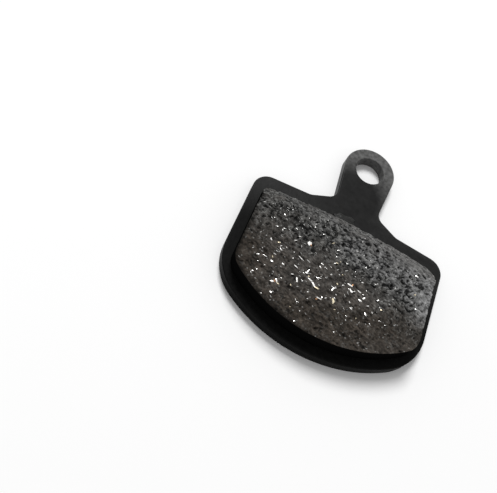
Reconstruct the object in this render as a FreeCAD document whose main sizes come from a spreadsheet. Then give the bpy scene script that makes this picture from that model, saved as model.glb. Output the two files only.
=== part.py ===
"""Disc brake pad: a stamped backing plate with an eyelet tab, and the moulded friction block bonded on it.

Millimetres. The pin hole's axis is the Z axis, the plate's back lies in z = 0, the tab points along +Y
and the friction face looks up.
"""
import FreeCAD, Part
import math
import os
import Sketcher

# Driving dimensions: each drop is measured from the pin hole's axis, away from the tab
SIZES = {
    "plate_thickness": 1.8,
    "plate_width": 32.2,
    "plate_drop": 34.05,
    "bottom_radius": 23.3,
    "lower_corner_radius": 8.0,
    "shoulder_drop": 10.3,
    "shoulder_radius": 2.55,
    "root_width": 14.9,
    "root_drop": 9.65,
    "root_radius": 2.0,
    "neck_width": 7.2,
    "neck_drop": 7.8,
    "neck_radius": 1.8,
    "head_radius": 4.3,
    "pin_hole_diameter": 4.8,
    "stamped_edge_radius": 0.2,
    "friction_thickness": 2.6,
    "side_rim": 1.65,
    "bottom_rim": 1.45,
    "crown_drop": 11.5,
    "crown_radius": 104.0,
    "friction_lower_radius": 3.4,
    "friction_upper_radius": 1.6,
    "bevel_depth": 2.8,
    "bevel_height": 2.2,
    "pits_drop": 21.0,
    "pit_spacing": 1.7,
    "pit_length": 1.1,
    "pit_width": 0.6,
    "pit_depth": 0.25,
    "pit_rim": 0.4,
}

# Sketcher's own numbers for the points of a line or an arc, for a sketch's axes and for its origin
EDGE, START, END, CENTRE = range(4)
HORIZONTAL_AXIS, VERTICAL_AXIS = range(-1, -3, -1)
ORIGIN = (HORIZONTAL_AXIS, START)
UP = FreeCAD.Vector(0, 0, 1)
SAME_PLACE = 1e-4

# The face's pits lie like a sunflower's seeds, which this share of the spacing sets one spacing apart
GOLDEN_SHARE = (math.sqrt(5) - 1) / 2
GOLDEN_ANGLE = 2 * math.pi * GOLDEN_SHARE
SEED_SHARE = 0.59
BARE_SEEDS = 3

# The bevel's pits lie in bowed rows, at these shares of the bevel's depth
BEVEL_ROWS = (0.3, 0.7)
ROW_UNEVENNESS = (0.4, 0.6)

# Each pit is an uneven hexagon, and its walls lean in by this share of its width
PIT_CORNERS = 6
PIT_GROWTH = (0.7, 1.1)
PIT_UNEVENNESS = (0.75, 1.0)
PIT_LEAN = 1 / 6

doc = FreeCAD.newDocument("brake_pad")
sizes = doc.addObject("Spreadsheet::Sheet", "sizes")
for row, (alias, value) in enumerate(SIZES.items(), start=1):
    sizes.set(f"A{row}", alias)
    sizes.set(f"B{row}", str(value))
    sizes.setAlias(f"B{row}", alias)
doc.recompute()


def new_body(label):
    """Return an empty body whose label names its file."""
    body = doc.addObject("PartDesign::Body", label)
    body.Label = label
    return body


def new_sketch(body, name, role):
    """Return a sketch on the body's own origin plane of that role."""
    sketch = body.newObject("Sketcher::SketchObject", name)
    plane = next(item for item in body.Origin.OriginFeatures if item.Role == role)
    sketch.AttachmentSupport = [(plane, "")]
    sketch.MapMode = "FlatFace"
    return sketch


def point(x, y):
    """Return a point of a sketch's plane."""
    return FreeCAD.Vector(x, y, 0)


def mirrored(place):
    """Return a point's mirror image across the pad's middle."""
    return point(-place.x, place.y)


def arc(centre, radius, start, end):
    """Return the counter-clockwise arc about a centre between the directions of two points."""
    circle = Part.Circle(centre, UP, radius)
    return Part.ArcOfCircle(circle, circle.parameter(start), circle.parameter(end))


def draw_ring(sketch, pieces):
    """Add lines and arcs to a sketch, each joined to the next by the kind of joint named with it."""
    for piece, _ in pieces:
        sketch.addGeometry(piece, False)
    for index, (_, joint) in enumerate(pieces):
        following = (index + 1) % len(pieces)
        sketch.addConstraint(Sketcher.Constraint(joint, index, END, following, START))


def drive(sketch, name, kind, items, formula):
    """Add a dimension at the value it is drawn with, then bind it to a formula of the sheet's sizes."""
    if kind == "Radius":
        drawn = sketch.Geometry[items[0]].Radius
    else:
        span = sketch.getPoint(*items[2:]) - sketch.getPoint(*items[:2])
        drawn = span.x if kind == "DistanceX" else span.y
    index = sketch.addConstraint(Sketcher.Constraint(kind, *items, drawn))
    sketch.renameConstraint(index, name)
    sketch.setExpression(f"Constraints.{name}", formula)


def pad_sketch(body, name, sketch, thickness):
    """Return the sketch raised to a solid of the named thickness."""
    pad = body.newObject("PartDesign::Pad", name)
    pad.Profile = sketch
    pad.setExpression("Length", f"sizes.{thickness}")
    doc.recompute()
    return pad


def upright_edges(feature, places):
    """Return the names of a solid's upright edges over the given points."""
    names = []
    for number, edge in enumerate(feature.Shape.Edges, start=1):
        for place in places:
            ends = [vertex.Point for vertex in edge.Vertexes]
            if all(math.hypot(end.x - place.x, end.y - place.y) < SAME_PLACE for end in ends):
                names.append(f"Edge{number}")
    return names


def round_corners(body, name, base, corner, radius):
    """Round the upright edges over a corner and over its mirror image."""
    fillet = body.newObject("PartDesign::Fillet", name)
    fillet.Base = (base, upright_edges(base, [corner, mirrored(corner)]))
    fillet.setExpression("Radius", f"sizes.{radius}")
    doc.recompute()
    return fillet


def top_face(feature):
    """Return the name of a solid's highest flat face."""
    faces = feature.Shape.Faces
    highest = max(range(len(faces)), key=lambda index: faces[index].BoundBox.ZMin)
    return f"Face{highest + 1}"


def uneven(number, low, high):
    """Return a value between two limits that jumps about from one number to the next."""
    return low + (high - low) * (number * GOLDEN_SHARE % 1)


def pit_corners(number, middle):
    """Return the corners of one pit, which has its own size and is turned its own way."""
    growth = uneven(number**3, *PIT_GROWTH) / 2
    turn = FreeCAD.Rotation(UP, uneven(number**2, -90, 90))
    corners = []
    for corner in range(PIT_CORNERS):
        angle = 2 * math.pi * corner / PIT_CORNERS
        place = point(sizes.pit_length * math.cos(angle), sizes.pit_width * math.sin(angle))
        reach = growth * uneven(PIT_CORNERS * number + corner, *PIT_UNEVENNESS)
        corners.append(middle + turn.multVec(place * reach))
    return corners


def pit_clearance():
    """Return how far a pit's middle keeps from an edge."""
    return sizes.pit_rim + max(PIT_GROWTH) * sizes.pit_length / 2


def face_pits(face):
    """Return the corners of each pit that keeps its rim clear of the face's edges."""
    step = SEED_SHARE * sizes.pit_spacing
    seeds = math.ceil((face.BoundBox.DiagonalLength / step) ** 2)
    height = UP * sizes.friction_thickness
    outlines = []
    for number in range(BARE_SEEDS, seeds):
        reach = step * math.sqrt(number)
        angle = number * GOLDEN_ANGLE
        middle = point(reach * math.cos(angle), reach * math.sin(angle) - sizes.pits_drop)
        on_face = face.isInside(middle + height, SAME_PLACE, True)
        if on_face and Part.Vertex(middle + height).distToShape(face.OuterWire)[0] > pit_clearance():
            outlines.append(pit_corners(number, middle))
    return outlines


def bevel_pits(row, half_width, crown_centre):
    """Return the corners of each pit in one of the bevel's rows, which lie staggered to each other."""
    radius = sizes.crown_radius - (1 - BEVEL_ROWS[row]) * sizes.bevel_depth
    half_angle = math.asin((half_width - sizes.friction_upper_radius - pit_clearance()) / radius)
    step = sizes.pit_spacing / radius
    count = math.floor(2 * half_angle / step)
    outlines = []
    for place in range(count - row):
        number = row * count + place
        angle = step * (place + row / 2 + uneven(number**2, *ROW_UNEVENNESS)) - half_angle
        middle = crown_centre + point(radius * math.sin(angle), radius * math.cos(angle))
        outlines.append(pit_corners(number, middle))
    return outlines


def cut_pits(body, name, outlines, depth):
    """Return the body's solid with pits cut down from the face's height, as deep as a formula says."""
    grains = new_sketch(body, f"{name}_outlines", "XY_Plane")
    grains.setExpression("AttachmentOffset.Base.z", "sizes.friction_thickness")
    for corners in outlines:
        sides = zip(corners, corners[1:] + corners[:1])
        grains.addGeometry([Part.LineSegment(*ends) for ends in sides], False)
    pits = body.newObject("PartDesign::Pocket", name)
    pits.Profile = grains
    pits.setExpression("Length", depth)
    pits.setExpression("TaperAngle", f"-atan({PIT_LEAN} * sizes.pit_width / ({depth}))")
    doc.recompute()
    return pits


def build_backing_plate():
    """Return the stamped plate: rounded body, tab with concave roots, eyelet and rolled front edge."""
    body = new_body("backing_plate")
    half_width = sizes.plate_width / 2
    bottom_centre = point(0, sizes.bottom_radius - sizes.plate_drop)
    corner = point(half_width, bottom_centre.y - math.sqrt(sizes.bottom_radius**2 - half_width**2))
    shoulder = point(half_width, -sizes.shoulder_drop)
    root = point(sizes.root_width / 2, -sizes.root_drop)
    neck = point(sizes.neck_width / 2, -sizes.neck_drop)
    touch_angle = math.atan2(neck.y, neck.x) + math.acos(sizes.head_radius / neck.Length)
    touch = point(sizes.head_radius * math.cos(touch_angle), sizes.head_radius * math.sin(touch_angle))
    right = [corner, shoulder, root, neck, touch]
    left = [mirrored(place) for place in reversed(right)]

    outline = new_sketch(body, "plate_outline", "XY_Plane")
    (bottom, right_side, right_top, right_flank, right_tab,
     head, left_tab, left_flank, left_top, left_side) = range(10)
    pieces = [(arc(bottom_centre, sizes.bottom_radius, left[-1], corner), "Coincident")]
    pieces += [(Part.LineSegment(*ends), "Coincident") for ends in zip(right[:-2], right[1:-1])]
    pieces += [(Part.LineSegment(neck, touch), "Tangent")]
    pieces += [(arc(point(0, 0), sizes.head_radius, touch, left[0]), "Tangent")]
    pieces += [(Part.LineSegment(*ends), "Coincident") for ends in zip(left[:-1], left[1:])]
    draw_ring(outline, pieces)
    outline.addConstraint(Sketcher.Constraint("Coincident", head, CENTRE, *ORIGIN))
    outline.addConstraint(Sketcher.Constraint("PointOnObject", bottom, CENTRE, VERTICAL_AXIS))
    outline.addConstraint(Sketcher.Constraint("Vertical", right_side))
    outline.addConstraint(Sketcher.Constraint("Vertical", left_side))
    for inner, outer in ((right_side, left_side), (right_top, left_top), (right_flank, left_flank)):
        outline.addConstraint(Sketcher.Constraint("Symmetric", inner, END, outer, START, VERTICAL_AXIS))
    drive(outline, "head_radius", "Radius", (head,), "sizes.head_radius")
    drive(outline, "bottom_radius", "Radius", (bottom,), "sizes.bottom_radius")
    drive(outline, "bottom_place", "DistanceY", (bottom, CENTRE, *ORIGIN),
          "sizes.plate_drop - sizes.bottom_radius")
    widths = (("plate_width", left_side, right_side), ("root_width", left_top, right_top),
              ("neck_width", left_flank, right_flank))
    for name, outer, inner in widths:
        drive(outline, name, "DistanceX", (outer, START, inner, END), f"sizes.{name}")
    drops = (("shoulder_drop", right_side), ("root_drop", right_top), ("neck_drop", right_flank))
    for name, line in drops:
        drive(outline, name, "DistanceY", (line, END, *ORIGIN), f"sizes.{name}")
    blank = pad_sketch(body, "plate_blank", outline, "plate_thickness")

    rounded = round_corners(body, "lower_corners", blank, corner, "lower_corner_radius")
    rounded = round_corners(body, "shoulders", rounded, shoulder, "shoulder_radius")
    rounded = round_corners(body, "tab_roots", rounded, root, "root_radius")
    rounded = round_corners(body, "necks", rounded, neck, "neck_radius")

    eyelet = new_sketch(body, "eyelet", "XY_Plane")
    eyelet.addGeometry(Part.Circle(point(0, 0), UP, sizes.pin_hole_diameter / 2), False)
    eyelet.addConstraint(Sketcher.Constraint("Coincident", 0, CENTRE, *ORIGIN))
    drive(eyelet, "pin_hole_radius", "Radius", (0,), "sizes.pin_hole_diameter / 2")
    hole = body.newObject("PartDesign::Pocket", "pin_hole")
    hole.Profile = eyelet
    hole.Type = "ThroughAll"
    hole.Reversed = True
    doc.recompute()

    edge = body.newObject("PartDesign::Fillet", "stamped_edge")
    edge.Base = (hole, [top_face(hole)])
    edge.setExpression("Radius", "sizes.stamped_edge_radius")
    doc.recompute()
    if not edge.Shape.Volume < hole.Shape.Volume < rounded.Shape.Volume:
        raise RuntimeError("the pin hole or the rolled edge takes nothing off the plate")
    return body


def build_friction_block():
    """Return the moulded block: it leaves a rim of the plate, and a bevel follows its bowed upper edge."""
    body = new_body("friction_block")
    body.setExpression("Placement.Base.z", "sizes.plate_thickness")
    half_width = sizes.plate_width / 2 - sizes.side_rim
    bottom_radius = sizes.bottom_radius - sizes.bottom_rim
    bottom_centre = point(0, sizes.bottom_radius - sizes.plate_drop)
    crown_centre = point(0, -sizes.crown_drop - sizes.crown_radius)
    corner = point(half_width, bottom_centre.y - math.sqrt(bottom_radius**2 - half_width**2))
    shoulder = point(half_width, crown_centre.y + math.sqrt(sizes.crown_radius**2 - half_width**2))

    outline = new_sketch(body, "block_outline", "XY_Plane")
    bottom, right_side, crown, left_side = range(4)
    draw_ring(outline, [
        (arc(bottom_centre, bottom_radius, mirrored(corner), corner), "Coincident"),
        (Part.LineSegment(corner, shoulder), "Coincident"),
        (arc(crown_centre, sizes.crown_radius, shoulder, mirrored(shoulder)), "Coincident"),
        (Part.LineSegment(mirrored(shoulder), mirrored(corner)), "Coincident"),
    ])
    for curve in (bottom, crown):
        outline.addConstraint(Sketcher.Constraint("PointOnObject", curve, CENTRE, VERTICAL_AXIS))
    for side in (right_side, left_side):
        outline.addConstraint(Sketcher.Constraint("Vertical", side))
    drive(outline, "bottom_radius", "Radius", (bottom,), "sizes.bottom_radius - sizes.bottom_rim")
    drive(outline, "bottom_place", "DistanceY", (bottom, CENTRE, *ORIGIN),
          "sizes.plate_drop - sizes.bottom_radius")
    drive(outline, "crown_radius", "Radius", (crown,), "sizes.crown_radius")
    drive(outline, "crown_place", "DistanceY", (crown, CENTRE, *ORIGIN),
          "sizes.crown_drop + sizes.crown_radius")
    half_width_formula = "sizes.plate_width / 2 - sizes.side_rim"
    drive(outline, "right_half", "DistanceX", (*ORIGIN, right_side, START), half_width_formula)
    drive(outline, "left_half", "DistanceX", (left_side, START, *ORIGIN), half_width_formula)
    block = pad_sketch(body, "block", outline, "friction_thickness")
    block = round_corners(body, "block_lower_corners", block, corner, "friction_lower_radius")
    block = round_corners(body, "block_upper_corners", block, shoulder, "friction_upper_radius")

    # The bevel's section, in the pad's middle plane, turns about the bowed edge's own centre
    section = new_sketch(body, "bevel_section", "YZ_Plane")
    face_end = point(-sizes.crown_drop - sizes.bevel_depth, sizes.friction_thickness)
    wall_end = point(-sizes.crown_drop, sizes.friction_thickness - sizes.bevel_height)
    edge = point(-sizes.crown_drop, sizes.friction_thickness)
    draw_ring(section, [(Part.LineSegment(*ends), "Coincident")
                        for ends in ((face_end, wall_end), (wall_end, edge), (edge, face_end))])
    slope, wall, face, axis = range(4)
    axis_foot = point(crown_centre.y, 0)
    axis_top = point(crown_centre.y, sizes.friction_thickness)
    section.addGeometry(Part.LineSegment(axis_foot, axis_top), True)
    section.addConstraint(Sketcher.Constraint("Vertical", wall))
    section.addConstraint(Sketcher.Constraint("Horizontal", face))
    section.addConstraint(Sketcher.Constraint("Vertical", axis))
    drive(section, "edge_place", "DistanceX", (face, START, *ORIGIN), "sizes.crown_drop")
    drive(section, "edge_height", "DistanceY", (*ORIGIN, face, START), "sizes.friction_thickness")
    drive(section, "bevel_depth", "DistanceX", (face, END, face, START), "sizes.bevel_depth")
    drive(section, "bevel_height", "DistanceY", (wall, START, wall, END), "sizes.bevel_height")
    drive(section, "axis_place", "DistanceX", (axis, START, *ORIGIN),
          "sizes.crown_drop + sizes.crown_radius")
    drive(section, "axis_foot", "DistanceY", (*ORIGIN, axis, START), "0 mm")
    drive(section, "axis_length", "DistanceY", (axis, START, axis, END), "sizes.friction_thickness")
    bevel = body.newObject("PartDesign::Groove", "bevel")
    bevel.Profile = section
    bevel.ReferenceAxis = (section, ["Axis0"])
    bevel.Angle = 360
    doc.recompute()

    # Grains that grinding tore out of the bevel and the face leave pits
    stages = [block, bevel]
    for row, share in enumerate(BEVEL_ROWS):
        outlines = bevel_pits(row, half_width, crown_centre)
        depth = f"sizes.pit_depth + {share} * sizes.bevel_height"
        stages.append(cut_pits(body, f"bevel_pits_row_{row}", outlines, depth))
    outlines = face_pits(bevel.Shape.getElement(top_face(bevel)))
    stages.append(cut_pits(body, "face_pits", outlines, "sizes.pit_depth"))
    for before, after in zip(stages, stages[1:]):
        if not after.Shape.Volume < before.Shape.Volume:
            raise RuntimeError(f"{after.Label} takes nothing off the block")
    return body


bodies = [build_backing_plate(), build_friction_block()]
for item in doc.Objects:
    if "Invalid" in item.State or "Error" in item.State:
        raise RuntimeError(f"{item.Label} failed: {item.State}")
for body in bodies:
    if body.Shape.isNull() or not body.Shape.isValid():
        raise RuntimeError(f"{body.Label} has no valid solid")

os.makedirs("parts", exist_ok=True)
for body in bodies:
    body.Shape.exportStep(f"parts/{body.Label}.step")
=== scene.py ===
"""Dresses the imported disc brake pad: satin paint on its stamped plate, a ground, granular friction block
with metal chips in it, and a plain white studio around it. Blender's units are metres. The sizes named
here are in millimetres and become metres where they are used."""
import logging
import math
import random
from dataclasses import dataclass, field
from enum import Enum
from typing import Any

import bmesh
import bpy
from mathutils import Euler, Matrix, Quaternion, Vector, noise
from mathutils.bvhtree import BVHTree
from mathutils.kdtree import KDTree


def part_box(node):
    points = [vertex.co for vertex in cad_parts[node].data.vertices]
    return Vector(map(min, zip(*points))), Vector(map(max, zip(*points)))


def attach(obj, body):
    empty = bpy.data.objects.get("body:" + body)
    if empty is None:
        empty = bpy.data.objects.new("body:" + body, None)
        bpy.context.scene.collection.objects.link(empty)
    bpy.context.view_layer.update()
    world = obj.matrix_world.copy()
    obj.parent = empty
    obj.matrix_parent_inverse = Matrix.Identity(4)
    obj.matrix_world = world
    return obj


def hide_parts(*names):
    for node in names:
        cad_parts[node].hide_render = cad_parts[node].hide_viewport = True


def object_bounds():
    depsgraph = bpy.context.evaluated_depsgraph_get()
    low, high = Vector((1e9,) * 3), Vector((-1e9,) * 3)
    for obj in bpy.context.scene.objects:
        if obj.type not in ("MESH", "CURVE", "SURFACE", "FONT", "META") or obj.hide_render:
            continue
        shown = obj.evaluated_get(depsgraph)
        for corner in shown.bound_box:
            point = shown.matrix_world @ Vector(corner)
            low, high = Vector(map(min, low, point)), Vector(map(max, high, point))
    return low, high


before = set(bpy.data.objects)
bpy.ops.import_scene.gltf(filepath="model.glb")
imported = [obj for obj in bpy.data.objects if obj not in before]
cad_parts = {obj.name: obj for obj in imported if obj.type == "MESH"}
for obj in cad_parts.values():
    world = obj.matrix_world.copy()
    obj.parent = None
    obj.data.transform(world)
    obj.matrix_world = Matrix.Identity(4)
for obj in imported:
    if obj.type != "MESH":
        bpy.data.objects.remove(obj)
CAD_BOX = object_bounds()
MM = 0.001
BODY = "root"
FIBRE_TURN = math.radians(-19.0)

Colour = tuple[float, float, float]
Point = tuple[float, float, float]
Span = tuple[float, float]
Socket = bpy.types.NodeSocket
UNIT: Span = (0.0, 1.0)
log = logging.getLogger("brake_pad")


def smooth_step(low: float, high: float, value: float) -> float:
    """Ease a value from 0 to 1.

    Args:
        low: where the result is 0.
        high: where the result is 1.
        value: the value to ease.

    Returns:
        A number from 0 to 1.
    """
    share = min(max((value - low) / (high - low), 0.0), 1.0)
    return share * share * (3.0 - 2.0 * share)


def in_metres(span: Span) -> Span:
    """Return a span of millimetres in metres."""
    return span[0] * MM, span[1] * MM


def new_piece(name: str, mesh: bpy.types.Mesh) -> bpy.types.Object:
    """Link a finished mesh as a piece that rides on the pad.

    Args:
        name: the piece's name.
        mesh: its mesh, already in place.

    Returns:
        The piece's object.
    """
    piece = bpy.data.objects.new(name, mesh)
    bpy.context.scene.collection.objects.link(piece)
    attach(piece, BODY)
    return piece


def rgba(colour: Any) -> Any:
    """Return a colour with its alpha, or a socket as it is."""
    return colour if isinstance(colour, Socket) else (*colour, 1.0)


class MaterialBoard:
    """The node board of one material, with its shader and the piece's own coordinates at hand."""

    DETAIL = 2.0
    MIDDLE = 0.5
    HAIR_BEND = 0.6
    HAIR_BREAK_SIZE = 1.3
    HAIR_BREAKS = (0.5, 0.6)
    SPECK_CORE = 0.4

    def __init__(self, name: str) -> None:
        """Start a material.

        Args:
            name: the material's name.
        """
        self.material = bpy.data.materials.new(name)
        self.material.use_nodes = True
        self.tree = self.material.node_tree
        self.shader = self.tree.nodes["Principled BSDF"]
        self.place = self.tree.nodes.new("ShaderNodeTexCoord").outputs["Object"]

    def add(self, kind: str, inputs: dict[str | int, Any], **settings: Any) -> bpy.types.Node:
        """Add a node.

        Args:
            kind: Blender's name of the node type.
            inputs: a value, or a socket to link, for each named or numbered input.
            settings: the node's own properties.

        Returns:
            The new node.
        """
        node = self.tree.nodes.new(kind)
        for name, value in settings.items():
            setattr(node, name, value)
        for key, value in inputs.items():
            self.feed(node.inputs[key], value)
        return node

    def feed(self, socket: Socket, value: Any) -> None:
        """Link a socket to another one, or set its plain value.

        Args:
            socket: the input to feed.
            value: another node's output, or a plain value.
        """
        if isinstance(value, Socket):
            self.tree.links.new(value, socket)
        else:
            socket.default_value = value

    def finish(self, **inputs: Any) -> bpy.types.Material:
        """Feed the shader.

        Args:
            inputs: a value or socket for each of its inputs, whose spaces are written as underscores.

        Returns:
            The finished material.
        """
        for name, value in inputs.items():
            self.feed(self.shader.inputs[name.replace("_", " ")], value)
        return self.material

    def stretched(self, turn: float, along: float) -> Socket:
        """Turn the piece's coordinates about Z and stretch them.

        Args:
            turn: the angle of the direction that a pattern is stretched along.
            along: how many times longer the pattern gets.

        Returns:
            The socket of the new coordinates.
        """
        inputs = {"Vector": self.place, "Rotation": (0.0, 0.0, -turn)}
        turned = self.add("ShaderNodeMapping", inputs)
        inputs = {"Vector": turned.outputs[0], "Scale": (1.0 / along, 1.0, 1.0)}
        return self.add("ShaderNodeMapping", inputs).outputs[0]

    def noise(self, grain: float, detail: float = DETAIL, contrast: Span = (0.3, 0.7)) -> Socket:
        """Add a cloudy pattern.

        Args:
            grain: the size of its patches in millimetres.
            detail: how many finer layers it has.
            contrast: the raw values that become 0 and 1.

        Returns:
            A socket from 0 to 1.
        """
        inputs = {"Vector": self.place, "Scale": 1.0 / (grain * MM), "Detail": detail}
        return self.span(self.add("ShaderNodeTexNoise", inputs).outputs["Fac"], contrast, UNIT)

    def tone(self, grain: float, strength: float, place: Socket | None = None) -> Socket:
        """Add a cloudy pattern to multiply a colour with.

        Args:
            grain: the size of its patches in millimetres.
            strength: how far its dark and pale patches are apart.
            place: the coordinates it lies on, the piece's own where not given.

        Returns:
            A socket around 1.
        """
        inputs = {"Vector": place or self.place, "Scale": 1.0 / (grain * MM), "Detail": self.DETAIL}
        swing = self.add("ShaderNodeTexNoise", inputs).outputs["Fac"]
        around_one = self.times(swing, 1.0 / self.MIDDLE)
        return self.add("ShaderNodeMath", {0: around_one, 1: strength}, operation="POWER").outputs[0]

    def hairs(self, grain: float, width: float) -> Socket:
        """Add short, thin, bent lines.

        Args:
            grain: the size of their bends in millimetres.
            width: their width as a share of the pattern's swing.

        Returns:
            A socket that is 1 on the lines and 0 elsewhere.
        """
        inputs = {"Vector": self.place, "Scale": 1.0 / (grain * MM), "Detail": self.DETAIL,
                  "Distortion": self.HAIR_BEND}
        swing = self.add("ShaderNodeTexNoise", inputs).outputs["Fac"]
        inputs = {0: swing, 1: self.MIDDLE, 2: width}
        line = self.add("ShaderNodeMath", inputs, operation="COMPARE").outputs[0]
        return self.times(line, self.noise(self.HAIR_BREAK_SIZE * grain, contrast=self.HAIR_BREAKS))

    def specks(self, grain: float, share: float, radius: float) -> Socket:
        """Add scattered specks.

        Args:
            grain: the spacing of the cells in millimetres.
            share: the share of the cells that hold a speck.
            radius: the speck's radius as a share of its cell.

        Returns:
            A socket that is 1 on the specks and 0 elsewhere.
        """
        inputs = {"Vector": self.place, "Scale": 1.0 / (grain * MM)}
        cell = self.add("ShaderNodeTexVoronoi", inputs)
        dot = self.span(cell.outputs["Distance"], (radius, radius * self.SPECK_CORE), UNIT)
        tint = self.add("ShaderNodeSeparateColor", {0: cell.outputs["Color"]}).outputs[0]
        chosen = self.add("ShaderNodeMath", {0: tint, 1: share}, operation="LESS_THAN").outputs[0]
        return self.times(dot, chosen)

    def span(self, value: Socket, source: Span, target: Span) -> Socket:
        """Map a value from one range to another.

        Args:
            value: the socket to map.
            source: the values at the two ends.
            target: what the ends become; the result is held there.

        Returns:
            The socket of the mapped value.
        """
        inputs = {"Value": value, "From Min": source[0], "From Max": source[1],
                  "To Min": target[0], "To Max": target[1]}
        return self.add("ShaderNodeMapRange", inputs).outputs[0]

    def times(self, first: Any, second: Any) -> Socket:
        """Multiply two values."""
        return self.add("ShaderNodeMath", {0: first, 1: second}, operation="MULTIPLY").outputs[0]

    def plus(self, first: Any, second: Any) -> Socket:
        """Add two values."""
        return self.add("ShaderNodeMath", {0: first, 1: second}, operation="ADD").outputs[0]

    def blend(self, factor: Any, first: Any, second: Any, how: str = "MIX") -> Socket:
        """Blend two colours.

        Args:
            factor: how much of the second one shows.
            first: the lower colour.
            second: the upper colour.
            how: Blender's name of the blend.

        Returns:
            The socket of the blended colour.
        """
        inputs = {0: factor, 6: rgba(first), 7: rgba(second)}
        return self.add("ShaderNodeMix", inputs, data_type="RGBA", blend_type=how).outputs[2]

    def attribute(self, name: str) -> Socket:
        """Read one of the mesh's own values."""
        return self.add("ShaderNodeAttribute", {}, attribute_name=name).outputs["Fac"]

    def bump(self, height: Socket, depth: float, strength: float) -> Socket:
        """Turn a height into a relief.

        Args:
            height: a socket from 0 to 1.
            depth: the relief's depth in millimetres.
            strength: how much of it shows.

        Returns:
            The socket of the bent normals.
        """
        inputs = {"Height": height, "Distance": depth * MM, "Strength": strength}
        return self.add("ShaderNodeBump", inputs).outputs[0]


@dataclass(frozen=True)
class SatinPaint:
    """Satin black paint with a fine orange peel, paler up the tab as a painted highlight and darker and
    duller below as painted shade. In millimetres.
    """

    name: str = "satin_black_paint"
    deep: Colour = (0.002, 0.002, 0.002)
    # Painted highlight: the pale colour that the tab head is blended towards.
    highlight_pale: Colour = (0.130, 0.130, 0.128)
    roughness: Span = (0.3, 0.42)
    # Painted shade: the gloss is lower towards the bottom of the plate.
    gloss: Span = (0.015, 0.075)
    peel: float = 0.4
    peel_depth: float = 0.010
    peel_strength: float = 0.5
    mottle: float = 0.6
    mottle_detail: float = 4.0
    mottle_highlight: Span = (0.4, 1.0)
    cloud: float = 1.6
    cloud_strength: float = 1.0
    # Painted highlight: paler up the tab head, away from its neck.
    neck: Point = (-1.2, -6.2, 1.8)
    rim_reach: Span = (4.0, 8.0)
    upward: Point = (0.15, 1.0, 0.0)
    head_rise: Span = (-9.0, -3.0)
    head_highlight: Span = (0.04, 1.0)
    # Painted shade: the paint's faint lift and its gloss fall off towards the bottom of the plate.
    painted_shade_rise: Span = (-21.0, -12.5)
    painted_shade_levels: Span = (0.01, 0.05)

    def material(self) -> bpy.types.Material:
        """Build the paint.

        Returns:
            Its material.
        """
        board = MaterialBoard(self.name)
        mottle = board.noise(self.mottle, detail=self.mottle_detail)
        # Painted highlight: the paint is blended paler up the tab head, away from its neck, in mottled
        # patches.
        inputs = {0: board.place, 1: Vector(self.neck) * MM}
        away = board.add("ShaderNodeVectorMath", inputs, operation="DISTANCE").outputs["Value"]
        rim = board.span(away, in_metres(self.rim_reach), UNIT)
        inputs = {0: board.place, 1: self.upward}
        upward = board.add("ShaderNodeVectorMath", inputs, operation="DOT_PRODUCT").outputs["Value"]
        head = board.span(upward, in_metres(self.head_rise), self.head_highlight)
        highlight = board.times(board.times(rim, head), board.span(mottle, UNIT, self.mottle_highlight))
        # Painted shade: the paint gets darker and less glossy towards the bottom of the plate.
        body = board.span(upward, in_metres(self.painted_shade_rise), UNIT)
        clouds = board.tone(self.cloud, self.cloud_strength)
        faint_with_painted_shade = board.times(board.span(body, UNIT, self.painted_shade_levels), clouds)
        return board.finish(
            Base_Color=board.blend(board.plus(highlight, faint_with_painted_shade), self.deep, self.highlight_pale),
            Roughness=board.span(mottle, UNIT, self.roughness),
            Specular_IOR_Level=board.span(body, UNIT, self.gloss),
            Normal=board.bump(board.noise(self.peel), self.peel_depth, self.peel_strength),
        )


class FaceValue(Enum):
    """What each vertex of the block tells the compound's material, by the name of its layer."""

    HEIGHT = "height"
    PIT = "pit"
    ZONE = "zone"
    ROUGH = "rough"
    GROUND = "ground"


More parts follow.
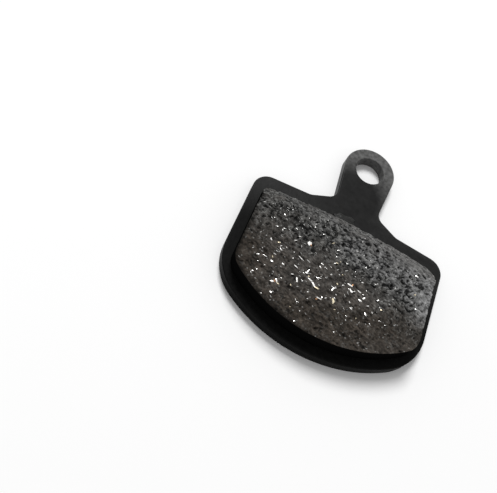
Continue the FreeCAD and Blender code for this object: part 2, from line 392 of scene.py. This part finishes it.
@dataclass(frozen=True)
class GroundCompound:
    """Moulded ceramic compound: ground grey and pitted on its face, with painted shade in its pits and
    hollows, and black on its sides. In millimetres.
    """

    name: str = "ground_friction_compound"
    warm: Colour = (0.031, 0.026, 0.0213)
    torn: Colour = (0.0205, 0.020, 0.0185)
    grey: Colour = (0.165, 0.165, 0.165)
    # Painted shade: the near black that pits and creases are painted.
    pit: Colour = (0.005, 0.005, 0.005)
    pale: Colour = (0.26, 0.26, 0.25)
    side: Colour = (0.003, 0.003, 0.003)
    patch: float = 1.3
    patch_strength: float = 0.8
    grain: float = 0.28
    grain_strength: float = 1.2
    fibre: float = 0.3
    fibre_strength: float = 1.3
    fibre_stretch: float = 2.2
    # Painted shade: the tones run from dark in the hollows to pale on the rims of pits.
    heights: Span = (0.0, 2.0)
    hollow_shade_and_rim_tones: Span = (0.15, 2.3)
    curls: Span = (1.1, 0.8)
    curl_width: float = 0.03
    curl_share: Span = (0.1, 0.6)
    speck: float = 0.5
    speck_share: float = 0.3
    speck_radius: float = 0.3
    speck_strength: float = 0.55
    grain_tones: Span = (0.3, 2.0)
    roughness: Span = (0.6, 0.9)
    gloss: float = 0.05
    relief_depth: float = 0.02
    relief_strength: float = 0.6

    def material(self) -> bpy.types.Material:
        """Build the compound, which reads the values that the block's mesh carries.

        Returns:
            Its material.
        """
        board = MaterialBoard(self.name)
        rough = board.attribute(FaceValue.ROUGH.value)
        patches = board.tone(self.patch, self.patch_strength)
        grains = board.tone(self.grain, self.grain_strength)
        along = board.stretched(FIBRE_TURN, self.fibre_stretch)
        fibres = board.tone(self.fibre, self.fibre_strength, place=along)
        height = board.attribute(FaceValue.HEIGHT.value)
        # Painted shade: darker in the hollows, paler on the rims of pits.
        hollow = board.span(height, self.heights, self.hollow_shade_and_rim_tones)
        tone = board.times(board.times(patches, board.times(grains, fibres)), hollow)
        zone = board.attribute(FaceValue.ZONE.value)
        colour = board.blend(zone, board.blend(rough, self.warm, self.torn), self.grey)
        toned = board.blend(1.0, colour, tone, how="MULTIPLY")
        long_curls, short_curls = (board.hairs(size, self.curl_width) for size in self.curls)
        share = board.span(rough, UNIT, self.curl_share)
        hairs = board.times(board.plus(long_curls, short_curls), share)
        specks = board.specks(self.speck, self.speck_share, self.speck_radius)
        light = board.plus(hairs, board.times(specks, self.speck_strength))
        # Painted shade: pits and creases are blended to near black.
        pit = board.attribute(FaceValue.PIT.value)
        pitted = board.blend(pit, board.blend(light, toned, self.pale), self.pit)
        ground = board.attribute(FaceValue.GROUND.value)
        relief = board.times(grains, fibres)
        return board.finish(
            Base_Color=board.blend(ground, self.side, pitted),
            Roughness=board.span(grains, self.grain_tones, self.roughness),
            Specular_IOR_Level=board.times(ground, self.gloss),
            Normal=board.bump(relief, self.relief_depth, self.relief_strength),
        )


class ChipMetal(Enum):
    """The metals of the chips, each with its colour."""

    SILVER = (0.92, 0.91, 0.88)
    STEEL = (0.34, 0.34, 0.33)
    BRASS = (0.94, 0.83, 0.60)
    COPPER = (0.36, 0.20, 0.11)


@dataclass(frozen=True)
class ChipFinish:
    """A chip's metal, bright where it was ground and dulled in patches. In millimetres."""

    metal: ChipMetal
    dull: float = 0.18
    dull_contrast: Span = (0.45, 0.8)
    dull_shade: float = 0.45
    roughness: Span = (0.22, 0.5)
    dent_depth: float = 0.01
    dent_strength: float = 0.4

    def material(self) -> bpy.types.Material:
        """Build the metal.

        Returns:
            Its material.
        """
        board = MaterialBoard(f"{self.metal.name.lower()}_chip")
        dull = board.noise(self.dull, contrast=self.dull_contrast)
        dark = tuple(self.dull_shade * part for part in self.metal.value)
        return board.finish(
            Base_Color=board.blend(dull, self.metal.value, dark),
            Metallic=1.0,
            Roughness=board.span(dull, UNIT, self.roughness),
            Normal=board.bump(dull, self.dent_depth, self.dent_strength),
        )


@dataclass
class BackingPlate:
    """The stamped steel plate, which keeps its solid's shape."""

    node: bpy.types.Object
    finish: SatinPaint = field(default_factory=SatinPaint)

    def dress(self) -> None:
        """Paint the plate."""
        paint = self.finish.material()
        for slot in self.node.material_slots:
            slot.material = paint
        log.info("painted %s", self.node.name)


@dataclass(frozen=True)
class FaceWear:
    """How the ground face has worn: rough above, grey to the right and dark below, with painted shade along
    the upper edge. In millimetres.
    """

    drift_size: float = 4.0
    drift_fall: float = 1.0
    drift_step: float = 2.0
    drift_layers: int = 3
    rough_line: Point = (-20.6, -0.22, -0.012)
    rough_reach: float = 3.2
    rough_drift: float = 2.6
    dull_slope: float = 0.25
    dull_line: float = 25.0
    dull_reach: Span = (-1.0, 4.0)
    dull_left: Span = (-5.0, -13.0)
    dull_down: Span = (-18.0, -25.0)
    grey_line: float = 20.2
    grey_rise: float = 5.0
    grey_run: float = 14.0
    grey_drift: float = 0.3
    grey_reach: Span = (0.0, 1.1)
    worn_reach: Span = (1.0, 3.4)
    worn_right: Span = (2.0, 12.0)
    upper_rise: Span = (-17.5, -14.8)
    patch_size: float = 1.7
    patch_reach: Span = (0.0, 0.35)
    patch_shade: float = 0.04
    base_shade: float = 0.12
    grey_shade: float = 0.43
    # Painted shade: how much the grey and the worn edge fade along the upper edge.
    grey_painted_shade_upper: float = 0.35
    edge_shade: Span = (0.04, 0.6)
    edge_painted_shade_upper: float = 0.75
    smoothed: float = 0.6

    def at(self, place: Vector, gap: float) -> tuple[float, float]:
        """Tell how the face has worn at a point.

        Args:
            place: the point in millimetres.
            gap: how far it is from the block's sides.

        Returns:
            How rough it is, from 0 at the bottom to 1 along the upper edge, and how grey it is, from 0 at
            the dark and warm bottom to 1 along the worn right edge.
        """
        drift = noise.fractal(place / self.drift_size, self.drift_fall, self.drift_step, self.drift_layers)
        level, lean, bow = self.rough_line
        line = level + lean * place.x + bow * place.x * place.x
        above = place.y - line + self.rough_drift * drift
        rough = smooth_step(-self.rough_reach, self.rough_reach, above)
        below = smooth_step(*self.dull_reach, self.dull_slope * place.x - place.y - self.dull_line)
        corner = smooth_step(*self.dull_left, place.x) * smooth_step(*self.dull_down, place.y)
        dull = max(below, corner)
        rise = (place.y + self.grey_line) / self.grey_rise
        grey = smooth_step(*self.grey_reach, rise + place.x / self.grey_run + self.grey_drift * drift)
        worn = (1.0 - smooth_step(*self.worn_reach, gap)) * smooth_step(*self.worn_right, place.x)
        upper = smooth_step(*self.upper_rise, place.y)
        patch = smooth_step(*self.patch_reach, noise.noise(place / self.patch_size)) * upper
        edge = self.edge_shade[0] + self.edge_shade[1] * grey
        # Painted shade: the worn edge and the grey fade along the upper edge, which darkens the bevel.
        zone = self.base_shade * (1.0 - dull) + edge * worn * (1.0 - self.edge_painted_shade_upper * upper)
        zone += self.grey_shade * grey * (1.0 - self.grey_painted_shade_upper * upper) + self.patch_shade * patch
        return rough * (1.0 - self.smoothed * max(worn, patch)), zone


@dataclass(frozen=True)
class FaceRelief:
    """The ground face's relief: grains, pits and tears. In millimetres."""

    bend: float = 0.22
    bend_size: float = 0.6
    coarse_width: float = 0.5
    middle_size: float = 0.45
    middle_shift: Point = (7.0, 3.0, 0.0)
    fine_size: float = 0.26
    fine_shift: Point = (1.0, 8.0, 4.0)
    shares: Point = (0.5, 0.33, 0.17)
    pit_edge: float = -0.15
    pit_smooth: float = 0.15
    pit_fall: float = 0.14
    hollow_edges: Span = (0.2, -0.1)
    tear_length: float = 1.1
    tear_width: float = 0.7
    tear_shift: float = 5.0
    torn_size: float = 1.3
    torn_shift: Point = (4.0, 1.0, 9.0)
    torn_reach: Span = (-0.2, 0.15)
    crease_reach: Span = (0.05, 0.15)
    pit_rim: float = 0.1
    tear_rim: float = 0.21
    rim_width: float = 0.06
    lump_depth: float = 0.14
    pit_depth: float = 0.10
    rough_depths: Span = (0.45, 0.55)

    def at(self, place: Vector, rough: float) -> tuple[float, float, float]:
        """Work out the relief at a point.

        Args:
            place: the point in millimetres.
            rough: how rough the face is there.

        Returns:
            Its depth in millimetres, its height, which is 1 on the flat ground tops, lower in the hollows
            and up to 2 on the torn rims of pits, and how far it is down a pit, from 0 to 1.
        """
        bent = place + self.bend * noise.noise_vector(place / self.bend_size)
        flow = Matrix.Rotation(-FIBRE_TURN, 3, "Z") @ bent
        coarse = noise.noise(Vector((flow.x, flow.y / self.coarse_width, 0.0)))
        middle = noise.noise(bent / self.middle_size + Vector(self.middle_shift))
        fine = noise.noise(place / self.fine_size + Vector(self.fine_shift))
        height = self.shares[0] * coarse + self.shares[1] * middle + self.shares[2] * fine
        edge = self.pit_edge - self.pit_smooth * (1.0 - rough)
        along = Vector((flow.x / self.tear_length, flow.y / self.tear_width, self.tear_shift))
        tear = noise.noise(along)
        spot = noise.noise(place / self.torn_size + Vector(self.torn_shift))
        torn = rough * smooth_step(*self.torn_reach, spot)
        crease = torn * (1.0 - smooth_step(*self.crease_reach, abs(tear)))
        pit = max(smooth_step(edge, edge - self.pit_fall, height), crease)
        upper, lower = (edge + offset for offset in self.hollow_edges)
        hollow = max(smooth_step(upper, lower, height), crease)
        rim = rough * (1.0 - min(abs(height - edge - self.pit_rim) / self.rim_width, 1.0))
        rim = max(rim, torn * (1.0 - min(abs(tear - self.tear_rim) / self.rim_width, 1.0)))
        depth = self.lump_depth * hollow + self.pit_depth * pit
        share = self.rough_depths[0] + self.rough_depths[1] * rough
        return depth * share, 1.0 - hollow + rim, pit * rough


@dataclass
class FrictionBlock:
    """The moulded friction block: its solid, meshed finely and torn where it was ground. In millimetres."""

    node: bpy.types.Object
    seed: int = 3
    mesh_step: float = 0.11
    merge_gap: float = 0.002
    flat_gap: float = 0.01
    solid_pits: float = 0.4
    side_lean: float = 0.3
    ground_lean: Span = (0.2, 0.6)
    waver: float = 0.2
    waver_size: float = 0.4
    slope_lean: Span = (0.8, 0.97)
    slope_depth: float = 0.5
    slope_pit: float = 0.6
    # Painted shade: how much the zone is cut on the sloped bevel.
    slope_painted_shade: float = 0.25
    zone_pit: float = 0.4
    skin_depth: float = 0.02
    skin_size: float = 0.6
    chip_rise: float = 0.05
    crumble_depth: float = 0.14
    crumble_reach: float = 0.7
    crumble_rough: Span = (0.25, 0.75)
    crumble_size: float = 0.8
    crumble_grain: float = 0.35
    crumble_grain_share: float = 0.4
    crumble_contrast: Span = (-0.2, 0.5)
    lip_reach: Span = (0.1, 0.4)
    lip_height: float = 0.4
    soft_left: Span = (4.0, -6.0)
    soft_reach: float = 1.2
    soft_share: float = 0.7
    wear: FaceWear = field(default_factory=FaceWear)
    relief: FaceRelief = field(default_factory=FaceRelief)
    finish: GroundCompound = field(default_factory=GroundCompound)
    low: Vector = field(init=False)
    high: Vector = field(init=False)

    def __post_init__(self) -> None:
        """Measure the solid."""
        self.low, self.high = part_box(self.node.name)

    def fine_mesh(self) -> bpy.types.Mesh:
        """Mesh the solid's shape in even steps.

        Returns:
            The new mesh.
        """
        source = bmesh.new()
        source.from_mesh(self.node.data)
        bmesh.ops.remove_doubles(source, verts=source.verts, dist=self.merge_gap * MM)
        shape = bpy.data.meshes.new("block_shape")
        source.to_mesh(shape)
        source.free()
        blank = bpy.data.objects.new("block_blank", shape)
        bpy.context.scene.collection.objects.link(blank)
        remesh = blank.modifiers.new("even_steps", "REMESH")
        remesh.mode = "VOXEL"
        remesh.voxel_size = self.mesh_step * MM
        finished = blank.evaluated_get(bpy.context.evaluated_depsgraph_get())
        mesh = bpy.data.meshes.new_from_object(finished)
        bpy.data.objects.remove(blank)
        return mesh

    def find_sides(self, shape: bmesh.types.BMesh, normals: list[Vector]) -> KDTree:
        """Collect the block's upright sides, seen from above.

        Args:
            shape: the finely meshed block.
            normals: its vertices' normals.

        Returns:
            A tree to look up how far a point is from them.
        """
        under_pits = self.high.z - self.solid_pits * MM
        sides = [vertex for vertex in shape.verts
                 if abs(normals[vertex.index].z) < self.side_lean and vertex.co.z < under_pits]
        tree = KDTree(len(sides))
        for vertex in sides:
            tree.insert(vertex.co.xy.to_3d(), vertex.index)
        tree.balance()
        return tree

    def crumble(self, place: Vector, gap: float, rough: float) -> float:
        """Tell how far the block's edge has crumbled at a point.

        Args:
            place: the point in millimetres.
            gap: how far it is from the block's sides.
            rough: how rough the face is there.

        Returns:
            A number from 0 to 1.
        """
        near = 1.0 - smooth_step(0.0, self.crumble_reach, gap)
        share = near * (self.crumble_rough[0] + self.crumble_rough[1] * rough)
        grain = self.crumble_grain_share * noise.noise(place / self.crumble_grain)
        return share * smooth_step(*self.crumble_contrast, noise.noise(place / self.crumble_size) + grain)

    def weather(self, vertex: bmesh.types.BMVert, normal: Vector, gap: float) -> dict[FaceValue, float]:
        """Sink one vertex by the relief at its place.

        Args:
            vertex: the vertex, moved in place.
            normal: its normal before any vertex was moved.
            gap: how far it is from the block's sides, in millimetres.

        Returns:
            What it tells the compound's material.
        """
        place = vertex.co / MM
        rough, zone = self.wear.at(place, gap)
        ground = smooth_step(*self.ground_lean, normal.z + self.waver * noise.noise(place / self.waver_size))
        crumble = self.crumble(place, gap, rough)
        depth, height, pit = self.relief.at(place, rough)
        slope = 1.0 - smooth_step(*self.slope_lean, normal.z)
        skin = self.skin_depth * (0.5 + 0.5 * noise.noise(place / self.skin_size))
        depth *= ground * (1.0 - self.slope_depth * slope)
        sunk = skin + ground * self.chip_rise + depth + self.crumble_depth * crumble
        vertex.co -= normal * sunk * MM
        vertex.co.z = max(vertex.co.z, self.low.z)
        lip = slope * (1.0 - smooth_step(*self.lip_reach, gap))
        soft = (1.0 - rough) * smooth_step(*self.soft_left, place.x)
        soft *= 1.0 - smooth_step(0.0, self.soft_reach, gap)
        return {
            FaceValue.HEIGHT: height + self.lip_height * lip,
            # Painted shade: how dark the compound paints this point as a pit.
            FaceValue.PIT: pit * ground * (1.0 - self.slope_pit * slope) * (1.0 - self.zone_pit * zone),
            # Painted shade: the zone is cut on the sloped bevel, which darkens it.
            FaceValue.ZONE: zone * (1.0 - self.slope_painted_shade * slope),
            FaceValue.ROUGH: rough,
            FaceValue.GROUND: ground * (1.0 - self.soft_share * soft),
        }

    def roughen(self, shape: bmesh.types.BMesh) -> None:
        """Sink the mesh's faces by their relief and note on each vertex what the material reads.

        Args:
            shape: the finely meshed block, changed in place.
        """
        shape.normal_update()
        normals = [vertex.normal.copy() for vertex in shape.verts]
        sides = self.find_sides(shape, normals)
        layers = {value: shape.verts.layers.float.new(value.value) for value in FaceValue}
        floor = self.low.z + 0.5 * self.mesh_step * MM
        for vertex in shape.verts:
            if vertex.co.z < floor:
                vertex.co.z = self.low.z
                continue
            gap = sides.find(vertex.co.xy.to_3d())[2] / MM
            for value, amount in self.weather(vertex, normals[vertex.index], gap).items():
                vertex[layers[value]] = amount

    def build(self) -> bpy.types.Object:
        """Build the block's piece in place of its solid.

        Returns:
            The piece's object.
        """
        noise.seed_set(self.seed)
        mesh = self.fine_mesh()
        shape = bmesh.new()
        shape.from_mesh(mesh)
        self.roughen(shape)
        floor = self.low.z + self.flat_gap * MM
        under = [face for face in shape.faces if all(vertex.co.z < floor for vertex in face.verts)]
        bmesh.ops.delete(shape, geom=under, context="FACES")
        bmesh.ops.holes_fill(shape, edges=[edge for edge in shape.edges if edge.is_boundary])
        for face in shape.faces:
            face.smooth = True
        shape.to_mesh(mesh)
        shape.free()
        piece = new_piece("ground_friction_block", mesh)
        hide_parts(self.node.name)
        return piece

    def dress(self, piece: bpy.types.Object) -> None:
        """Give the block its compound.

        Args:
            piece: the block's object.
        """
        piece.data.materials.clear()
        piece.data.materials.append(self.finish.material())
        log.info("built %s with %d faces", piece.name, len(piece.data.polygons))


@dataclass(frozen=True)
class Chip:
    """One metal chip: its metal, its place on the face, its length and width and the way it points."""

    metal: ChipMetal
    x: float
    y: float
    length: float
    width: float
    turn: float


LARGE_CHIPS = (
    Chip(ChipMetal.SILVER, -5.2, -19.6, 0.9, 0.75, 55.0),
    Chip(ChipMetal.COPPER, -4.9, -19.8, 0.45, 0.25, -40.0),
    Chip(ChipMetal.SILVER, -3.2, -25.0, 1.2, 0.34, -10.0),
    Chip(ChipMetal.SILVER, -2.6, -25.4, 0.9, 0.36, -40.0),
    Chip(ChipMetal.BRASS, -2.0, -25.7, 1.0, 0.3, 0.0),
    Chip(ChipMetal.SILVER, -1.2, -27.0, 1.2, 0.32, 0.0),
    Chip(ChipMetal.COPPER, -1.5, -27.3, 0.5, 0.3, 40.0),
    Chip(ChipMetal.BRASS, 0.8, -26.3, 1.0, 0.5, -60.0),
    Chip(ChipMetal.SILVER, 4.8, -23.8, 0.8, 0.3, 50.0),
    Chip(ChipMetal.SILVER, 4.3, -24.3, 0.8, 0.32, -15.0),
    Chip(ChipMetal.SILVER, 2.3, -22.8, 1.0, 0.36, -10.0),
    Chip(ChipMetal.COPPER, 2.7, -22.6, 0.4, 0.3, 40.0),
    Chip(ChipMetal.SILVER, 2.7, -23.6, 0.9, 0.32, -40.0),
    Chip(ChipMetal.SILVER, 3.9, -23.1, 0.9, 0.26, -15.0),
    Chip(ChipMetal.SILVER, 5.7, -25.9, 0.8, 0.3, -55.0),
    Chip(ChipMetal.SILVER, -5.0, -25.9, 0.9, 0.34, -60.0),
    Chip(ChipMetal.SILVER, -6.0, -24.0, 1.3, 0.2, -25.0),
    Chip(ChipMetal.SILVER, -5.6, -22.5, 1.2, 0.16, -20.0),
    Chip(ChipMetal.STEEL, -4.4, -22.4, 0.9, 0.2, -20.0),
    Chip(ChipMetal.SILVER, -4.1, -24.2, 0.6, 0.36, 0.0),
    Chip(ChipMetal.SILVER, -4.0, -23.9, 0.7, 0.2, 70.0),
    Chip(ChipMetal.SILVER, -7.6, -24.7, 0.6, 0.2, -10.0),
    Chip(ChipMetal.SILVER, -11.4, -25.1, 0.6, 0.2, 20.0),
    Chip(ChipMetal.SILVER, -10.4, -24.8, 1.0, 0.16, -10.0),
    Chip(ChipMetal.SILVER, -9.2, -25.1, 0.5, 0.34, -20.0),
    Chip(ChipMetal.BRASS, -9.3, -21.8, 0.6, 0.2, 20.0),
    Chip(ChipMetal.SILVER, -8.7, -22.7, 0.6, 0.2, -35.0),
    Chip(ChipMetal.SILVER, -10.5, -21.9, 0.6, 0.24, -40.0),
    Chip(ChipMetal.SILVER, -7.6, -27.5, 0.7, 0.28, -60.0),
    Chip(ChipMetal.COPPER, -7.8, -27.7, 0.5, 0.3, -50.0),
    Chip(ChipMetal.SILVER, -8.1, -27.9, 0.7, 0.32, 25.0),
    Chip(ChipMetal.SILVER, -7.8, -29.5, 0.8, 0.22, -25.0),
    Chip(ChipMetal.SILVER, 0.2, -24.7, 0.7, 0.25, 65.0),
    Chip(ChipMetal.STEEL, 9.8, -16.1, 0.5, 0.22, -40.0),
    Chip(ChipMetal.SILVER, 11.4, -16.2, 0.7, 0.22, -20.0),
    Chip(ChipMetal.STEEL, 12.8, -21.4, 0.8, 0.26, 0.0),
)
BRIGHT_METALS = (ChipMetal.SILVER,) * 6 + (ChipMetal.STEEL,) * 10 + (ChipMetal.BRASS,)
DULL_METALS = (ChipMetal.STEEL,)


@dataclass
class MetalChips:
    """The metal chips that grinding laid open in the block's face. In millimetres."""

    block: bpy.types.Object
    high: Vector
    seed: int = 11
    count: int = 200
    middle: Span = (-1.2, -24.2)
    spread: Span = (6.5, 4.4)
    upper_count: int = 40
    upper_middle: Span = (-9.0, -17.2)
    upper_spread: Span = (3.0, 1.6)
    lengths: Span = (0.2, 0.6)
    widths: Span = (0.1, 0.2)
    turn: float = -10.0
    turn_spread: float = 35.0
    thickness: float = 0.14
    uneven: Span = (0.75, 1.15)
    lean: float = 0.12
    edge_gap: float = 0.2
    deepest: float = 0.5

    def places(self) -> list[Chip]:
        """Lay out the large chips, the small ones between them and the dull ones in the upper left.

        Returns:
            All the chips.
        """
        pick = random.Random(self.seed)
        chips = list(LARGE_CHIPS)
        chips += self.scatter(pick, self.count, BRIGHT_METALS, self.middle, self.spread)
        chips += self.scatter(pick, self.upper_count, DULL_METALS, self.upper_middle, self.upper_spread)
        return chips

    def scatter(self, pick: random.Random, count: int, metals: tuple[ChipMetal, ...],
                middle: Span, spread: Span) -> list[Chip]:
        """Scatter small chips about a point.

        Args:
            pick: where their places and sizes come from.
            count: how many there are.
            metals: the metals to choose from, each as often as it is named.
            middle: the point.
            spread: how far they lie from it, sideways and upwards.

        Returns:
            The chips.
        """
        chips = []
        for _ in range(count):
            chips.append(Chip(
                pick.choice(metals),
                pick.gauss(middle[0], spread[0]),
                pick.gauss(middle[1], spread[1]),
                pick.uniform(*self.lengths),
                pick.uniform(*self.widths),
                pick.gauss(self.turn, self.turn_spread),
            ))
        return chips

    def seat(self, face: BVHTree, chip: Chip) -> Vector | None:
        """Find where a chip lies: on the highest of three points of the face along it.

        Args:
            face: the block's face.
            chip: the chip.

        Returns:
            The place of the chip's middle in metres, or nothing where the chip would reach over an edge.
        """
        half = 0.5 * chip.length + self.edge_gap
        along = Matrix.Rotation(math.radians(chip.turn), 3, "Z") @ Vector((half, 0.0, 0.0))
        heights = []
        for share in (-1.0, 0.0, 1.0):
            start = (Vector((chip.x, chip.y, 0.0)) + share * along) * MM
            start.z = self.high.z + MM
            hit = face.ray_cast(start, Vector((0.0, 0.0, -1.0)))[0]
            if hit is None or hit.z < self.high.z - self.deepest * MM:
                return None
            heights.append(hit.z)
        return Vector((chip.x * MM, chip.y * MM, max(heights)))

    def add_chip(self, shape: bmesh.types.BMesh, chip: Chip, seat: Vector, pick: random.Random) -> None:
        """Add one chip, sunk into the face.

        Args:
            shape: the mesh of the chip's metal.
            chip: the chip.
            seat: the point of the face it lies at, in metres.
            pick: where its uneven outline and lean come from.
        """
        made = bmesh.ops.create_icosphere(shape, subdivisions=1, radius=0.5)["verts"]
        for vertex in made:
            vertex.co *= pick.uniform(*self.uneven)
        size = Matrix.Diagonal((chip.length, chip.width, self.thickness, 1.0))
        angles = (pick.gauss(0.0, self.lean), pick.gauss(0.0, self.lean), math.radians(chip.turn))
        turned = Euler(angles).to_matrix().to_4x4()
        place = Matrix.Translation(seat) @ Matrix.Scale(MM, 4) @ turned @ size
        bmesh.ops.transform(shape, matrix=place, verts=made)
        over = max(vertex.co.z for vertex in made) - self.high.z
        if over > 0.0:
            bmesh.ops.translate(shape, vec=(0.0, 0.0, -over), verts=made)

    def build(self) -> list[bpy.types.Object]:
        """Build one piece of chips for each metal.

        Returns:
            The pieces' objects.
        """
        surface = bmesh.new()
        surface.from_mesh(self.block.data)
        tree = BVHTree.FromBMesh(surface)
        surface.free()
        pick = random.Random(self.seed + 1)
        shapes = {metal: bmesh.new() for metal in ChipMetal}
        for chip in self.places():
            seat = self.seat(tree, chip)
            if seat is not None:
                self.add_chip(shapes[chip.metal], chip, seat, pick)
        return [self.finish_piece(metal, shape) for metal, shape in shapes.items()]

    def finish_piece(self, metal: ChipMetal, shape: bmesh.types.BMesh) -> bpy.types.Object:
        """Turn the chips of one metal into a dressed piece.

        Args:
            metal: the metal.
            shape: its chips, freed here.

        Returns:
            The piece's object.
        """
        name = f"{metal.name.lower()}_chips"
        mesh = bpy.data.meshes.new(name)
        shape.to_mesh(mesh)
        shape.free()
        mesh.materials.append(ChipFinish(metal).material())
        piece = new_piece(name, mesh)
        log.info("built %s with %d faces", name, len(mesh.polygons))
        return piece


@dataclass(frozen=True)
class BondBead:
    """The bead of bond squeezed out at the block's upper edge, under the paint, which is paler on it as a
    painted highlight. In millimetres.
    """

    middle: Point = (-1.0, -11.4, 1.8)
    size: Point = (3.4, 2.0, 0.36)
    lumps: float = 0.7
    lump_rate: float = 2.0
    grains: float = 0.3
    grain_rate: float = 6.0
    # Painted highlight: the bead's paint is paler than the plate's, for the light on its hump.
    finish: SatinPaint = SatinPaint(name="bond_paint_with_highlight", deep=(0.014, 0.014, 0.0135))

    def build(self) -> None:
        """Build the bead: a low, lumpy lens, half sunk into the plate and run under the block."""
        shape = bmesh.new()
        made = bmesh.ops.create_icosphere(shape, subdivisions=4, radius=0.5)["verts"]
        for vertex in made:
            lump = self.lumps * noise.noise(vertex.co * self.lump_rate)
            grain = self.grains * noise.noise(vertex.co * self.grain_rate)
            vertex.co *= 1.0 + lump + grain
        place = Matrix.Translation(Vector(self.middle) * MM) @ Matrix.Scale(MM, 4)
        bmesh.ops.transform(shape, matrix=place @ Matrix.Diagonal((*self.size, 1.0)), verts=made)
        for face in shape.faces:
            face.smooth = True
        mesh = bpy.data.meshes.new("bond_bead")
        shape.to_mesh(mesh)
        shape.free()
        mesh.materials.append(self.finish.material())
        new_piece("bond_bead", mesh)
        log.info("built bond_bead with %d faces", len(mesh.polygons))


@dataclass(frozen=True)
class Studio:
    """A white floor, soft light from behind and above, and the camera. In millimetres."""

    floor_size: float = 600.0
    floor_gap: float = 0.002
    floor_shade: float = 0.97
    floor_roughness: float = 0.9
    key_place: Point = (-270.0, 630.0, 900.0)
    key_size: float = 450.0
    key_power: float = 10.1
    ambient: float = 0.44
    camera_place: Point = (-18.502, -72.150, 82.319)
    camera_target: Point = (-13.000, -24.742, 4.400)
    camera_roll: float = 32.508
    lens: float = 47.956
    nearest: float = 1.0

    def build(self) -> None:
        """Build the floor, the light and the camera."""
        self.build_floor()
        self.build_key()
        self.build_world()
        self.build_camera()
        bpy.context.scene.view_settings.view_transform = "Standard"
        log.info("built the studio")

    def build_floor(self) -> None:
        """Build the floor under the pad."""
        shape = bmesh.new()
        bmesh.ops.create_grid(shape, x_segments=2, y_segments=2, size=0.5 * self.floor_size * MM)
        mesh = bpy.data.meshes.new("studio_floor")
        shape.to_mesh(mesh)
        shape.free()
        floor = bpy.data.objects.new("studio_floor", mesh)
        floor.location.z = CAD_BOX[0].z - self.floor_gap * MM
        bpy.context.scene.collection.objects.link(floor)
        board = MaterialBoard("studio_floor")
        paper = board.finish(
            Base_Color=rgba((self.floor_shade,) * 3),
            Roughness=self.floor_roughness,
            Specular_IOR_Level=0.0,
        )
        mesh.materials.append(paper)

    def build_key(self) -> None:
        """Build the soft light."""
        lamp = bpy.data.lights.new("key", "AREA")
        lamp.shape = "DISK"
        lamp.size = self.key_size * MM
        lamp.energy = self.key_power
        key = bpy.data.objects.new("key", lamp)
        key.location = Vector(self.key_place) * MM
        aim = Vector(self.camera_target) * MM - key.location
        key.rotation_euler = aim.to_track_quat("-Z", "Y").to_euler()
        bpy.context.scene.collection.objects.link(key)

    def build_world(self) -> None:
        """Build the surroundings: white to the eye and to shiny surfaces, dimmer as light."""
        world = bpy.data.worlds.new("studio")
        bpy.context.scene.world = world
        world.use_nodes = True
        tree = world.node_tree
        path = tree.nodes.new("ShaderNodeLightPath")
        seen = path.outputs["Is Camera Ray"]
        for name in ("Is Glossy Ray", "Is Transmission Ray"):
            either = tree.nodes.new("ShaderNodeMath")
            either.operation = "MAXIMUM"
            tree.links.new(seen, either.inputs[0])
            tree.links.new(path.outputs[name], either.inputs[1])
            seen = either.outputs[0]
        level = tree.nodes.new("ShaderNodeMapRange")
        level.inputs["To Min"].default_value = self.ambient
        tree.links.new(seen, level.inputs["Value"])
        background = tree.nodes["Background"]
        background.inputs["Color"].default_value = (1.0, 1.0, 1.0, 1.0)
        tree.links.new(level.outputs[0], background.inputs["Strength"])

    def build_camera(self) -> None:
        """Build the camera, turned about its own axis as the picture is."""
        lens = bpy.data.cameras.new("camera")
        lens.lens = self.lens
        lens.sensor_fit = "HORIZONTAL"
        lens.clip_start = self.nearest * MM
        camera = bpy.data.objects.new("camera", lens)
        camera.location = Vector(self.camera_place) * MM
        aim = (Vector(self.camera_target) - Vector(self.camera_place)).to_track_quat("-Z", "Y")
        roll = Quaternion((0.0, 0.0, 1.0), math.radians(self.camera_roll))
        camera.rotation_euler = (aim @ roll).to_euler()
        bpy.context.scene.collection.objects.link(camera)
        bpy.context.scene.camera = camera


def main() -> None:
    """Build and dress the pad, then the studio."""
    logging.basicConfig(level=logging.INFO, format="%(name)s: %(message)s")
    BackingPlate(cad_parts["backing_plate"]).dress()
    block = FrictionBlock(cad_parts["friction_block"])
    face = block.build()
    block.dress(face)
    MetalChips(face, block.high).build()
    BondBead().build()
    Studio().build()


if __name__ == "__main__":
    main()
